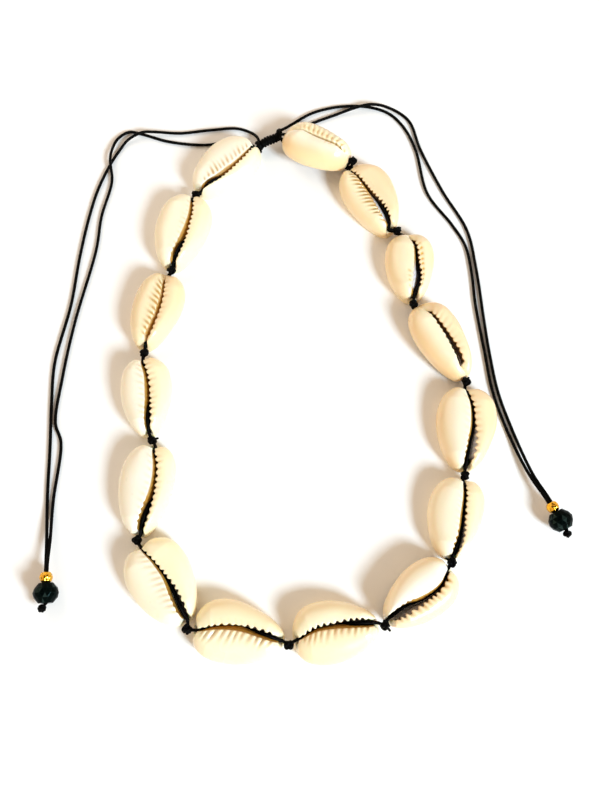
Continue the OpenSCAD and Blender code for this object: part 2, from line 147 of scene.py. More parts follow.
# The tails' routes in mm, as in the source. A tail lies at this height where none is given.
LIE = 0.45
TAIL_ROUTES = {
    "left_tail_a": [
        (-12.9, 66.1, 2.6), (-13.4, 67.6, 2.2), (-15.2, 70, 0.9), (-19, 71.7), (-27, 71.2),
        (-35, 70.2), (-42, 70.3, 0.9), (-45.6, 69.8, 1.5), (-49.6, 67.8, 0.8), (-51.8, 64.6),
        (-53.9, 60.5), (-56.8, 52.5), (-58.6, 44), (-60.2, 32), (-61.4, 18), (-64.2, 2),
        (-64.1, -8), (-63.4, -20), (-62.8, -34),
    ],
    "left_tail_b": [
        (-14.3, 65.3, 1.4), (-18, 67.8, 0.5), (-22.5, 67.3), (-28, 66.4), (-38, 67.4),
        (-45.6, 69.8), (-49.4, 70.6), (-52.4, 68.4, 0.6), (-53.8, 64, 1.2), (-53.9, 60.5, 1.5),
        (-53.2, 55, 0.6), (-55.3, 44), (-56, 34), (-60, 13), (-61.9, -2), (-62.6, -14),
        (-60.8, -19), (-61.4, -34),
    ],
    "right_tail_a": [
        (-7.5, 69.1, 3.1), (-6.3, 70.2, 2.3), (-4, 72.8, 0.8), (2, 76.9), (10, 79), (18, 78.8),
        (23.6, 76.6), (27.6, 72), (30.6, 64.6), (33.2, 51), (39.4, 41.4), (42.6, 35.2),
        (43.8, 27), (44.2, 18.5), (45.7, 5), (47.1, -6), (50.3, -17),
    ],
    "right_tail_b": [
        (-7.6, 68.6, 2.2), (-4.4, 70, 0.6), (-0.4, 72.4), (8.5, 76.3), (14, 78.1, 1.2),
        (18, 78.9, 1.6), (22.6, 78.6, 1), (28.8, 74.6), (31.9, 64.9), (37.3, 51.8), (43.3, 39.8),
        (45, 29), (46.2, 13), (46.9, 5), (48.4, -6), (51.4, -16.4),
    ],
}
# Where each pair of beads hangs, and the way that the cord runs there, in degrees.
DROPS = {"left": ((-60.4, -55.4), -86), "right": ((60.3, -38.6), -63)}


def length_property(name, description, default, precision=4):
    return bpy.props.FloatProperty(name=name, description=description, default=default,
                                   unit="LENGTH", precision=precision)


def colour_property(name, description, default):
    return bpy.props.FloatVectorProperty(name=name, description=description,
                                         default=default, subtype="COLOR")


class NecklaceShells(bpy.types.PropertyGroup):
    """Sizes and colours of the shells."""

    length: length_property("Length", "Mean length of a shell", 21 * MM)
    width: length_property("Width", "Width over both lips", 14 * MM)
    height: length_property("Height", "From the ground back to the lips' crest", 6.6 * MM)
    ivory: colour_property("Ivory", "Colour of the polished lips", (0.95, 0.86, 0.59))
    peach: colour_property("Peach", "Tint of the margins", (0.86, 0.62, 0.33))
    # Painted shade: the dark brown down in the slit.
    stain_and_shade: colour_property("Stain", "Dark brown down in the slit", (0.06, 0.022, 0.006))


class NecklaceCord(bpy.types.PropertyGroup):
    """Sizes and colour of the cord."""

    diameter: length_property("Diameter", "Diameter of one strand", 0.8 * MM, 5)
    knot: length_property("Knot", "Diameter of a knot between two shells", 2.2 * MM)
    black: colour_property("Black", "Colour of the waxed cord", (0.0008, 0.0008, 0.0008))


class NecklaceBeads(bpy.types.PropertyGroup):
    """Size and colour of the beads."""

    rondelle: length_property("Rondelle", "Diameter of the black bead", 6 * MM)
    gold: colour_property("Gold", "Colour of the gold bead", (0.88, 0.48, 0.04))


class NecklaceStage(bpy.types.PropertyGroup):
    """The camera and the table."""

    camera_height: length_property(
        "Camera height", "Height of the camera over the table", 193 * MM)
    camera_pitch: bpy.props.FloatProperty(
        name="Camera tilt", description="Tilt of the camera away from straight down",
        default=math.radians(17), subtype="ANGLE")
    table: colour_property("Table", "Colour of the table", (0.96, 0.96, 0.96))


def clip(v, low=0.0, high=1.0):
    return max(low, min(high, v))


def mix(a, b, f):
    return a + (b - a) * f


def smooth(low, high, v):
    f = clip((v - low) / (high - low))
    return f * f * (3 - 2 * f)


def fade(low, high, v):
    return 1 - smooth(low, high, v)


def kit(name):
    return getattr(bpy.context.scene, f"necklace_{name}")


def cord_radius():
    return kit("cord").diameter / MM / 2


def spline(points, f):
    """A point on a smooth line through evenly numbered points, f from 0 to 1."""
    spans = len(points) - 1
    at = clip(f) * spans
    k = min(int(at), spans - 1)
    t = at - k
    a, b = points[max(k - 1, 0)], points[k]
    c, d = points[k + 1], points[min(k + 2, spans)]
    return tuple(
        0.5 * (2 * q + (r - p) * t + (2 * p - 5 * q + 4 * r - s) * t * t
               + (3 * q - p - 3 * r + s) * t ** 3)
        for p, q, r, s in zip(a, b, c, d))


def smooth_line(points, step):
    """Dense points on a smooth line through the given ones, about step apart."""
    pts = [Vector(p) for p in points]
    ends = [pts[0] * 2 - pts[1]] + pts + [pts[-1] * 2 - pts[-2]]
    out = []
    for k in range(1, len(ends) - 2):
        p, q, r, s = ends[k - 1:k + 3]
        k1, k2, k3 = (max((to - at).length, 1e-6) ** 0.5
                      for at, to in ((p, q), (q, r), (r, s)))
        m1 = ((q - p) / k1 - (r - p) / (k1 + k2) + (r - q) / k2) * k2
        m2 = ((r - q) / k2 - (s - q) / (k2 + k3) + (s - r) / k3) * k2
        count = max(1, round((r - q).length / step))
        for j in range(count):
            t = j / count
            out.append(q * (2 * t ** 3 - 3 * t ** 2 + 1) + m1 * (t ** 3 - 2 * t ** 2 + t)
                       + r * (3 * t ** 2 - 2 * t ** 3) + m2 * (t ** 3 - t ** 2))
    out.append(pts[-1])
    return out


def link_object(name, data):
    obj = bpy.data.objects.new(name, data)
    bpy.context.scene.collection.objects.link(obj)
    return obj


def link_mesh(name, bm, material, smooth_faces=True):
    """An object at the origin from a bmesh in metres."""
    mesh = bpy.data.meshes.new(name)
    bm.to_mesh(mesh)
    bm.free()
    mesh.materials.append(material_named(material))
    for face in mesh.polygons:
        face.use_smooth = smooth_faces
    return link_object(name, mesh)


def face_out(bm):
    bmesh.ops.recalc_face_normals(bm, faces=bm.faces)


def to_metres(bm, verts):
    bmesh.ops.scale(bm, verts=verts, vec=(MM, MM, MM))


def seat(obj, node):
    """The piece rides on the one body and stands for its node, which it hides."""
    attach(obj, "root")
    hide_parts(node)
    return obj


def knot_at(k):
    return Vector(LOOP_ROUTE[k]) * PITCH


# Width of the slit toward the rear and the front, in mm.
REAR_OPEN = 1.3
FRONT_OPEN = 2.2
# Share of the half length that an open and a closed slit take up.
OPEN_REACH = 0.9
SHUT_REACH = 0.73
# Where the slit's rear part passes into its front part.
FRONT_FROM = (-0.15, 0.35)
# With less gape than this at the front, the lips nearly meet, as in shells 3 and 15.
TIGHT_GAPE = -0.69


class Shell:
    """One shell's own sizes and place, in mm, counted from 1."""

    def __init__(self, number):
        sizes = kit("shells")
        row = dict(zip(SHELL_COLUMNS, SHELL_ROWS[number - 1]))
        forward = number <= FORWARD_SHELLS
        ends = (number - 1, number) if forward else (number, number - 1)
        self.number = number
        self.rear, self.front = map(knot_at, ends)
        self.half = row["long"] * sizes.length / MM / 2
        self.wide = {lip: row[lip] * sizes.width / MM for lip in ("out", "in")}
        self.height = sizes.height / MM
        self.look = dict(zip(LOOK_COLUMNS + RIDGE_COLUMNS,
                             LOOK_ROWS[number - 1] + RIDGE_ROWS[number - 1]))
        self.tight = self.look["gape_front"] < TIGHT_GAPE
        self.line = [(offset,) for offset in SLITS[number - 1]]
        chord = (self.front - self.rear).normalized()
        side = Vector((-chord.y, chord.x))
        centre = (self.rear + self.front) / 2 + chord * row["along"] * sizes.length / MM \
            + side * row["shift"] * sizes.width / MM
        turn = math.atan2(chord.y, chord.x) + math.radians(row["yaw"])
        self.place = Matrix.Translation((centre.x, centre.y, 0)) \
            @ Matrix.Rotation(turn, 4, "Z") \
            @ Matrix.Rotation(math.radians(row["roll"]), 4, "X")

    # The slit, t from the rear tip at -1 to the front tip at 1.
    def mid(self, t):
        return spline(self.line, (t + OPEN_REACH) / (2 * OPEN_REACH))[0]

    def gap(self, t):
        """Half the slit's width: it widens to the front and narrows a little at its end."""
        if t < 0.6:
            f = clip((t + 0.6) / 1.2) ** 1.3
        else:
            f = 1 - 0.7 * ((t - 0.6) / 0.4) ** 2
        return mix(REAR_OPEN, FRONT_OPEN, f) / 2

    def strip(self, low, high, t):
        """Share of the slit that the inner lip's slope, painted golden as shade, covers."""
        return mix(self.look["strip"], self.look["strip_front"], smooth(low, high, t))

    def placed(self, x, y, z):
        return self.place @ Vector((x, y, z))

    def inside(self, t, aside, z):
        return self.placed(self.half * t, self.mid(t) + aside, z)


# Profiles over a lip: share of the way from the slit to the margin, share of the height.
DOME = [
    (0.53, 0.96), (0.67, 0.9), (0.8, 0.815), (0.905, 0.7), (0.975, 0.565), (1.0, 0.425),
    (0.99, 0.28), (0.955, 0.14), (0.9, 0.04), (0.86, 0.0), (0.8, 0.0), (0.74, 0.0),
]
OUTER_PROFILE = [
    (-1.0, 0.60), (-0.4, 0.72), (0.0, 0.85), (0.0, 0.945), (0.035, 0.985),
    (0.14, 0.997), (0.25, 1.0), (0.39, 0.99),
] + DOME
INNER_PROFILE = [
    (-1.0, 0.60), (-0.95, 0.70), (-0.5, 0.80), (0.0, 0.90), (0.035, 0.955),
    (0.11, 0.99), (0.24, 1.0), (0.39, 0.99),
] + DOME
# From the ground rim up the hollow and back to the underside of the lip.
HOLLOW = [(0.72, 0.06), (0.69, 0.25), (0.6, 0.48), (0.42, 0.62), (0.2, 0.66), (0.06, 0.65)]
# Where in the section the slit's wall ends, the skin ends, the hollow's lining begins, and
# the lip's underside comes near the slit.
WALL_END = 5
SKIN_END = 17
LINING_START = 19.5
UNDER_LIP = 24


# For each lip: how far its teeth stand into the slit in mm, how much their ridges slant,
# and how much its margin swells toward the rear.
TEETH_IN = {"out": 0.12, "in": 0.27}
SLANT = {"out": 0.8, "in": 2.2}
SWELL = {"out": 0.3, "in": 0.16}
# Half the slit's width over the sill at an open and at a closed tip, and the least, in mm.
SILL_HALF = (0.5, 0.1)
LEAST_HALF = 0.04
# Shares of the shell's height: its ridge toward the tips, and the sill.
END_HEIGHT = 0.62
SILL_HEIGHT = 0.36
# The stretch of the slit that has teeth, and how unevenly they stand and stand out.
TEETH_SPAN = 1.74
JITTER = 0.35
UNEVEN = 0.7
OWN = 0.5
# Depth of a groove, height of a crest, depth of a pit and the arch of a closed end, in mm.
GROOVE = 0.32
CREST = 0.10
PIT = 0.25
ARCH = 1.7


class LipPlace:
    """A place on the slit's edge. u goes once round the slit from the front tip."""

    def __init__(self, shell, u):
        look = shell.look
        angle = 2 * math.pi * u
        away = min(angle % math.pi, math.pi - angle % math.pi)
        self.ca = math.cos(angle)
        self.degrees = math.degrees(away)
        self.outer = u < 0.5
        self.lip = "out" if self.outer else "in"
        self.side = 1 if self.outer else -1
        self.seed = shell.number * 3.7 + (1.9 if self.outer else 0.0)
        self.shut = mix(look["shut_rear"], look["shut_front"], smooth(-0.2, 0.2, self.ca))
        self.t = t = mix(OPEN_REACH, SHUT_REACH, self.shut) * self.ca
        # From the tips, where a low sill carries the cord, into the shell's body.
        self.body = smooth(5.0, 17.0, self.degrees)
        self.tip = fade(7.0, 19.0, self.degrees) * (1 - self.shut)
        self.strength = fade(0.70, 0.83, abs(t))
        ahead = smooth(*FRONT_FROM, t)
        self.front_part = ahead * fade(0.66, 0.80, t)
        lobe = abs(math.sin(angle)) ** 0.86 * (1 - SWELL[self.lip] * self.ca)
        self.margin = Vector((shell.half * self.ca, self.side * shell.wide[self.lip] * lobe))
        gape = mix(look["gape_rear"], look["gape_front"], ahead)
        sill_half = mix(*SILL_HALF, self.shut) * smooth(0, 6, self.degrees)
        inset = TEETH_IN[self.lip] - 0.5 * gape
        open_half = max(mix(sill_half, shell.gap(t) - inset, self.body), LEAST_HALF)
        self.edge = Vector((shell.half * t, shell.mid(t) + self.side * open_half))
        self.full = max(2 * shell.gap(t) - sum(TEETH_IN.values()) + gape, 0.1)
        rise = clip(math.sin(away) / 0.75) ** 0.8
        ridge_height = shell.height * (END_HEIGHT + (1 - END_HEIGHT) * rise)
        self.high = mix(ridge_height, SILL_HEIGHT * shell.height, self.tip)


class Tooth:
    """A tooth's crest or groove, r of the way from the slit to the margin."""

    def __init__(self, shell, at, r):
        look, t = shell.look, at.t
        jitter = JITTER * noise.noise(Vector((t * 3.1, at.seed, 0.5)))
        slant = SLANT[at.lip] * clip(r, 0, 0.6)
        phase = t * look["teeth"] / TEETH_SPAN + (0.0 if at.outer else 0.5) \
            + 0.13 * shell.number + jitter + slant
        self.ridge = 0.5 + 0.5 * math.cos(2 * math.pi * phase)
        self.notch = (1 - self.ridge) ** 1.8
        self.uneven = 1 + UNEVEN * noise.noise(Vector((t * 4.3, at.seed, 7.5)))
        # Each groove has its own depth, length and brown, partly stain and partly painted shade.
        count = math.floor(phase)
        self.own = [1 + OWN * noise.noise(Vector((count * 1.7, at.seed, k * 2.3)))
                    for k in range(3)]
        self.relief = look[f"ridge_{at.lip}"] * self.uneven * self.own[0]
        self.reach = look[f"reach_{at.lip}"] * (0.82 + 0.15 * self.uneven) * self.own[1]
        self.start = 0.0 if at.outer else look["start_in"]
        self.length = fade(0.25 * self.reach, self.reach, r) \
            * smooth(self.start - 0.05, self.start + 0.04, r)


def wall_reach(shell, at):
    """How far the slit's wall stands out under a lip, or is undercut (below 0), in mm."""
    look = shell.look
    if at.outer:
        # Where painted light of the table shows, the outer lip's wall stands out as a ledge.
        ledge = look["pale_out"] * at.front_part
        return (0.7 * ledge * at.full - 0.35 * (1 - ledge)) * at.body
    share = shell.strip(-0.05, 0.5, at.t) * smooth(-0.9, -0.55, at.t)
    share = max(share, 0.08, 0.8 * look["pale_in"] * at.front_part)
    return min(share, 0.95) * at.full * at.body


def notch_cut(shell, at, tooth, r):
    """How far a crest stands into the slit, or a notch cuts into its edge (below 0)."""
    look = shell.look
    if at.outer:
        # Seen over a lip that stands toward the viewer, only deep notches show.
        toward = -(shell.place.to_3x3() @ Vector((0, 1, 0))).y
        saw = 0.42 + 0.2 * clip(toward) + 0.18 * smooth(0.0, 0.5, at.t) \
            - 0.15 * look["shut_front"] - 0.25 * shell.tight
    else:
        saw = look["bite"] * mix(smooth(0.1, 0.4, at.t), 1, look["shut_front"])
    cut = (0.15 * tooth.ridge - tooth.notch) * saw * at.strength * fade(0.0, 0.11, r)
    return cut * tooth.uneven * tooth.own[0] * at.body * (1 if r >= 0 else max(0, 1 + 2 * r))


def slit_depth(shell, at, zf, part):
    """Painted shade in the slit: how deep a point looks, from 0 on the lips to 1 in the dark."""
    deep = 0.0
    # The slit's walls are painted darker the lower they go, as shade.
    if part < WALL_END and at.outer:
        deep = smooth(0.975, 0.88, zf)
    elif part < WALL_END:
        bare = max(0, 1 - 2.2 * shell.strip(-0.1, 0.35, at.t))
        deep = 0.62 * smooth(0.955, 0.86, zf) + 0.38 * smooth(0.76, 0.62, zf)
        deep = max(deep, bare * smooth(0.965, 0.90, zf))
    # Where the painted brown shade is strong the whole slit is painted golden instead of dark.
    golden = clip(6 * (shell.strip(0.0, 0.5, at.t) - 0.8))
    if at.outer:
        deep *= 1 - 0.5 * golden
    # The hollow's lining is painted dark as shade.
    if part > LINING_START:
        deep = 1 - 0.3 * golden
    return deep * 0.35 if shell.tight else deep


def shell_point(shell, u, v):
    """A point of the shell and its marks. v goes once round the wall's section."""
    look = shell.look
    at = LipPlace(shell, u)
    profile = OUTER_PROFILE if at.outer else INNER_PROFILE
    section = profile + HOLLOW + [profile[0]]
    r, zf = spline(section, v)
    part = v * (len(section) - 1)
    skin = part < SKIN_END
    tooth = Tooth(shell, at, r)
    groove = (1 - tooth.ridge) ** 1.3 * at.strength * tooth.length if skin else 0.0
    point = at.edge + (at.margin - at.edge) * max(r, 0)
    if r < 0:
        point.y += at.side * r * wall_reach(shell, at)
    if skin or part > UNDER_LIP:
        point.y -= at.side * notch_cut(shell, at, tooth, r)
    z = zf * at.high
    if skin:
        z -= groove * tooth.relief * GROOVE * (1 - at.tip) * smooth(-0.1, 0.03, r)
        z += tooth.ridge * at.strength * tooth.length * tooth.relief * CREST
    z = max(z, ARCH * at.shut * fade(8.0, 22.0, at.degrees))
    # Painted shade down in the slit.
    deep = slit_depth(shell, at, zf, part)
    # Brown in the grooves: partly the shell's stain, partly painted shade in the recess.
    stain_and_shade = groove * look[f"stain_{at.lip}"] * tooth.own[2] \
        * (1 - 0.7 * smooth(tooth.start + 0.08, tooth.reach, r))
    if skin and not at.outer:
        # The slit's painted brown shade comes up over the inner lip's edge.
        band = clip((shell.strip(0.0, 0.5, at.t) - 0.30) * 1.6) \
            * at.body * at.strength * tooth.uneven
        wide = 0.07 + 0.5 * max(0, look["stain_in"] - 1)
        stain_and_shade = max(stain_and_shade, band * fade(0.0, wide, r))
        deep = max(deep, 0.45 * band * fade(0.0, 0.045, r))
    pit = 0.0
    if skin and look["pits"]:
        there = at.outer or look["pits"] < 0.2 or at.t > 0.2
        pit = look["pits"] * tooth.notch * at.strength * there \
            * smooth(0.10, 0.15, r) * fade(0.23, 0.32, r) * smooth(-0.6, -0.4, at.t) \
            * (1 if at.outer else 0.5)
        z -= PIT * pit
    # A painted golden shade line where the lips meet at a closed rear end.
    closed = look["shut_rear"] * (1 - look["shut_front"]) * (at.ca < 0) \
        * smooth(9.0, 14.0, at.degrees)
    deep = max(deep, 0.4 * closed * (1 - at.body) * fade(0.0, 0.06, r) * skin)
    rim = smooth(0.4, 1.0, r) if skin else 1.0
    # Tone of the lip: the whiter tone is partly painted fill light on the lip turned from the
    # lamp.
    tone = mix(0.5 * (look["tone_in"] + look["tone_out"]), look[f"tone_{at.lip}"],
               smooth(2.0, 26.0, at.degrees))
    # Painted light, as of the lit table seen through the slit, near its front.
    painted_light = look[f"pale_{at.lip}"] * at.front_part
    return point.x, point.y, z, (stain_and_shade, deep, rim, pit, tone, painted_light, look["peach"])


# Points round the slit and round the section, and how much closer they stand at the tips.
AROUND = 320
SECTION = 48
CROWD = 0.35
MARKS = ("stain_and_shade", "deep", "rim", "pit", "tone", "painted_light", "peach")


def build_shell(number):
    """A cowrie with its back ground off: a grid wrapped round the slit and welded."""
    shell = Shell(number)
    bm = bmesh.new()
    bmesh.ops.create_grid(bm, x_segments=AROUND, y_segments=SECTION, size=1.0)
    layers = [bm.verts.layers.float.new(name) for name in MARKS]
    for vert in bm.verts:
        u = 1 - (vert.co.x + 1) / 2
        u -= CROWD * math.sin(4 * math.pi * u) / (4 * math.pi)
        v = (vert.co.y + 1) / 2
        x, y, z, marks = shell_point(shell, u % 1.0, v % 1.0)
        # Grown shapes are a little uneven, most at the margin.
        spot = Vector((x * 0.15, y * 0.15, number * 5.0))
        y += 0.14 * noise.noise(spot) * (0.2 + marks[MARKS.index("rim")])
        z *= 1 + 0.03 * noise.noise(spot * 1.3 + Vector((0, 0, 3.3)))
        vert.co = shell.placed(x, y, z)
        for layer, value in zip(layers, marks):
            vert[layer] = value
    low = min(vert.co.z for vert in bm.verts)
    for vert in bm.verts:
        vert.co.z -= low
    bmesh.ops.remove_doubles(bm, verts=bm.verts, dist=1e-4)
    to_metres(bm, bm.verts)
    face_out(bm)
    obj = link_mesh(f"shell_{number:02d}", bm, "polished_shell")
    return seat(obj, f"cowrie_{number:02d}")


NODE_STEP = 40


class Wiring:
    """Short calls for adding and joining a material's nodes."""

    def __init__(self, tree):
        self.tree = tree

    def add(self, kind, label="", **values):
        node = self.tree.nodes.new(kind)
        node.location.x = NODE_STEP * len(self.tree.nodes)
        node.label = label
        for key, value in values.items():
            setattr(node, key, value)
        return node

    def feed(self, socket, item):
        """Joins a node's output to the socket, or sets its value."""
        if isinstance(item, bpy.types.NodeSocket):
            self.tree.links.new(item, socket)
        elif socket.type == "RGBA":
            socket.default_value = (*tuple(item)[:3], 1.0)
        else:
            socket.default_value = item

    def set(self, node, **inputs):
        for key, item in inputs.items():
            self.feed(node.inputs[key.replace("_", " ")], item)
        return node

    def surface(self, **inputs):
        return self.set(self.tree.nodes["Principled BSDF"], **inputs)

    def coordinates(self, kind="Object"):
        return self.add("ShaderNodeTexCoord").outputs[kind]

    def attribute(self, name):
        return self.add("ShaderNodeAttribute", name, attribute_name=name).outputs["Fac"]

    def math(self, operation, *items, clamp=False):
        node = self.add("ShaderNodeMath", operation=operation, use_clamp=clamp)
        for socket, item in zip(node.inputs, items):
            self.feed(socket, item)
        return node.outputs["Value"]

    def times(self, a, b, clamp=False):
        return self.math("MULTIPLY", a, b, clamp=clamp)

    def line(self, a, slope, offset, clamp=False):
        return self.math("MULTIPLY_ADD", a, slope, offset, clamp=clamp)

    def blend(self, factor, a, b, mode="MIX"):
        node = self.add("ShaderNodeMix", data_type="RGBA", blend_type=mode)
        for index, item in ((0, factor), (6, a), (7, b)):
            self.feed(node.inputs[index], item)
        return node.outputs[2]

    def noise(self, coordinates, scale, detail, roughness, label):
        node = self.add("ShaderNodeTexNoise", label)
        self.set(node, Vector=coordinates, Scale=scale, Detail=detail, Roughness=roughness)
        return node.outputs["Fac"]

    def bump(self, height, strength, distance):
        """Roughens the surface by a height, its distance in mm."""
        node = self.add("ShaderNodeBump")
        self.set(node, Height=height, Strength=strength, Distance=distance * MM)
        self.surface(Normal=node.outputs["Normal"])


# Colours of the marks on the shells: the whiter tone is partly painted fill light, the groove
# brown partly painted shade, the slit's gold painted shade and the grey painted light seen
# through the slit.
VEIL = (0.86, 0.70, 0.42)
WHITER = (0.98, 0.96, 0.88)
YELLOWER = (0.85, 0.58, 0.33)
GROOVE_BROWN = (0.56, 0.32, 0.09)
PIT_BROWN = (0.78, 0.46, 0.12)
PAINTED_SLIT_GOLD = (0.48, 0.24, 0.03)
PAINTED_TABLE_LIGHT = (0.72, 0.71, 0.74)


def wire_shell(w):
    colours = kit("shells")
    place = w.coordinates()
    stain_and_shade, deep, rim, pit, tone, painted_light, peach = map(w.attribute, MARKS)
    clouds = w.noise(place, 110.0, 3.0, 0.55, "clouds")
    fine = w.noise(place, 1100.0, 4.0, 0.6, "fine grain")
    # Ivory lips that warm to peach over the margins.
    warm = w.times(rim, w.line(peach, 0.95, 0.08))
    warm = w.times(warm, w.line(clouds, 1.0, 0.5), clamp=True)
    colour = w.blend(warm, colours.ivory, colours.peach)
    colour = w.blend(w.times(w.times(clouds, peach), 0.35), colour, VEIL)
    # The whiter tone is partly painted fill light on the lip turned from the lamp, partly the
    # shell's own colour.
    kept = w.times(rim, w.line(peach, 0.6, 0.35))
    paler = w.times(tone, w.math("SUBTRACT", 1.0, kept), clamp=True)
    colour = w.blend(paler, colour, WHITER)
    colour = w.blend(w.times(tone, -1.0, clamp=True), colour, YELLOWER)
    # Brown between the teeth, partly stain and partly painted shade; painted golden shade at the
    # top of the slit and painted dark shade down in it.
    between = w.times(w.times(stain_and_shade, 1.3), w.line(fine, 0.9, 0.4), clamp=True)
    colour = w.blend(between, colour, GROOVE_BROWN)
    colour = w.blend(w.times(pit, 1.3, clamp=True), colour, PIT_BROWN)
    slit = w.times(deep, 2.2, clamp=True)
    colour = w.blend(slit, colour, PAINTED_SLIT_GOLD)
    colour = w.blend(w.line(deep, 2.6, -1.6, clamp=True), colour, colours.stain_and_shade)
    # Painted light: the lit table seen through the slit, painted grey-white on its walls.
    colour = w.blend(w.times(painted_light, slit, clamp=True), colour, PAINTED_TABLE_LIGHT)
    w.surface(Base_Color=colour, Roughness=w.line(deep, 0.35, w.line(clouds, 0.16, 0.22)),
              IOR=1.52, Coat_Weight=0.25, Coat_Roughness=0.16, Subsurface_Weight=0.15,
              Subsurface_Radius=(1.0, 0.5, 0.25), Subsurface_Scale=1.4 * MM)
    w.bump(w.line(fine, 0.4, w.times(clouds, 0.6)), 0.08, 0.2)


# Slant of the plaited strands round the cord, and the two blacks of its wax.
PLAIT = 1.6
WORN_BLACK = (0.002, 0.002, 0.002)
STRAND_BLACK = (0.003, 0.003, 0.003)


def wire_cord(w):
    place = w.coordinates()
    split = w.set(w.add("ShaderNodeSeparateXYZ"), Vector=w.coordinates("UV"))
    turn = 2 * math.pi

    def band(slant):
        line = w.line(split.outputs["Y"], turn * 4, w.times(split.outputs["X"], turn * slant))
        return w.line(w.math("SINE", line), 0.5, 0.5)

    weave = w.math("MAXIMUM", band(PLAIT), band(-PLAIT))
    fibre = w.noise(place, 2600.0, 4.0, 0.65, "fibres")
    worn = w.noise(place, 300.0, 3.0, 0.6, "wax")
    colour = w.blend(w.times(worn, 0.5), kit("cord").black, WORN_BLACK)
    colour = w.blend(w.times(weave, 0.35), colour, STRAND_BLACK)
    w.surface(Base_Color=colour, Roughness=w.line(worn, 0.3, 0.34), Specular_IOR_Level=0.04)
    w.bump(w.line(fibre, 0.35, weave), 0.7, 0.06)


TARNISH = (0.62, 0.26, 0.03)


def wire_gold(w):
    place = w.coordinates()
    tarnish = w.noise(place, 700.0, 3.0, 0.6, "tarnish")
    w.surface(Base_Color=w.blend(w.times(tarnish, 0.5), kit("beads").gold, TARNISH),
              Roughness=w.line(tarnish, 0.15, 0.08), Metallic=1.0)
    w.bump(w.noise(place, 1100.0, 1.0, 0.4, "dents"), 1.0, 0.5)


GLASS_BLACK = (0.0005, 0.0005, 0.0005)
GLASS_TEAL = (0.0006, 0.003, 0.003)
PAINTED_GLINT = (0.014, 0.024, 0.021)


def wire_glass(w):
    cast = w.noise(w.coordinates(), 260.0, 2.0, 0.5, "teal cast")
    colour = w.blend(w.times(cast, 0.9), GLASS_BLACK, GLASS_TEAL)
    # Painted glints on the picked facets and the bevels.
    w.surface(Base_Color=w.blend(w.attribute("glint"), colour, PAINTED_GLINT),
              Roughness=w.line(cast, 0.05, 0.03), IOR=1.5,
              Specular_Tint=(0.5, 0.95, 0.9), Specular_IOR_Level=0.03)


PAPER_GREY = (0.94, 0.935, 0.93)


def wire_table(w):
    grain = w.noise(w.coordinates(), 40.0, 4.0, 0.6, "paper grain")
    w.surface(Base_Color=w.blend(w.times(grain, 0.2), kit("stage").table, PAPER_GREY),
              Roughness=0.7)


MATERIALS = {"polished_shell": wire_shell, "waxed_cord": wire_cord,
             "polished_gold": wire_gold, "black_glass": wire_glass, "pale_table": wire_table}


def material_named(name):
    """The material of that name, wired when a piece asks for it first."""
    material = bpy.data.materials.get(name)
    if not material:
        material = bpy.data.materials.new(name)
        material.use_nodes = True
        MATERIALS[name](Wiring(material.node_tree))
    return material


def sweep(bm, line, radius, sides=10):
    """Adds a closed tube along the points of a line, in mm, with its own UV map."""
    steps = len(line) - 1
    grid = bmesh.ops.create_grid(bm, x_segments=steps, y_segments=sides, size=1.0)["verts"]
    uv = bm.loops.layers.uv.verify()
    reach = [0.0]
    for a, b in zip(line, line[1:]):
        reach.append(reach[-1] + (b - a).length)
    girth = 2 * math.pi * radius
    tangents = [(line[min(k + 1, steps)] - line[max(k - 1, 0)]).normalized()
                for k in range(steps + 1)]
    start = Vector((0, 0, 1)) if abs(tangents[0].z) < 0.9 else Vector((1, 0, 0))
    normal = tangents[0].cross(start).normalized()
    frames = []
    for tangent in tangents:
        normal = (normal - tangent * normal.dot(tangent)).normalized()
        frames.append((normal.copy(), tangent.cross(normal)))
    for vert in grid:
        k = round((vert.co.x + 1) / 2 * steps)
        turn = (vert.co.y + 1) / 2
        for loop in vert.link_loops:
            loop[uv].uv = (reach[k] / girth, turn)
        angle = -2 * math.pi * turn
        side, up = frames[k]
        vert.co = (line[k] + radius * (math.cos(angle) * side + math.sin(angle) * up)) * MM
    bmesh.ops.remove_doubles(bm, verts=grid, dist=1e-7)


def close_ends(bm):
    bmesh.ops.holes_fill(bm, edges=[e for e in bm.edges if e.is_boundary], sides=0)
    face_out(bm)


def cord_piece(name, lines, radius, sides=10):
    bm = bmesh.new()
    for line in lines:
        sweep(bm, line, radius, sides)
    close_ends(bm)
    return link_mesh(name, bm, "waxed_cord")


def drop_point(where, along, aside, z):
    """A point along and beside the cord through a pair of beads, in mm."""
    (x, y), turn = DROPS[where]
    c, s = math.cos(math.radians(turn)), math.sin(math.radians(turn))
    return (x + along * c - aside * s, y + along * s + aside * c, z)


# The beads on a tail, as in the source, in mm.
BLACK_LENGTH = 4.6
GOLD_D = 3.0
BORE = 2.0
GAP = 0.15
GOLD_LENGTH = 2 * math.sqrt((GOLD_D / 2) ** 2 - (BORE / 2) ** 2)
GOLD_BACK = BLACK_LENGTH / 2 + GAP + GOLD_LENGTH / 2
END_KNOT_D = 2.0
STOP_AHEAD = BLACK_LENGTH / 2 + 2 * GAP + 0.44 * END_KNOT_D
BEAD_Z = 3.0
# Half the way from one strand of a pair to the other in the beads, across and up.
PAIR = {"left": (0.26, 0.32), "right": (0.385, -0.13)}


def drop_route(where, side):
    """The last points of a tail, down to the beads and through them."""
    aside, up = (side * half for half in PAIR[where])
    return [
        drop_point(where, -GOLD_BACK - GOLD_D * 3, side * 0.41, mix(LIE, BEAD_Z, 0.55)),
        drop_point(where, -GOLD_BACK - GOLD_D, aside, mix(LIE, BEAD_Z, 0.95) + up),
        drop_point(where, -GOLD_BACK - GOLD_LENGTH / 2, aside, BEAD_Z + up),
        drop_point(where, BLACK_LENGTH / 2 + GAP / 2, aside, BEAD_Z + up),
    ]


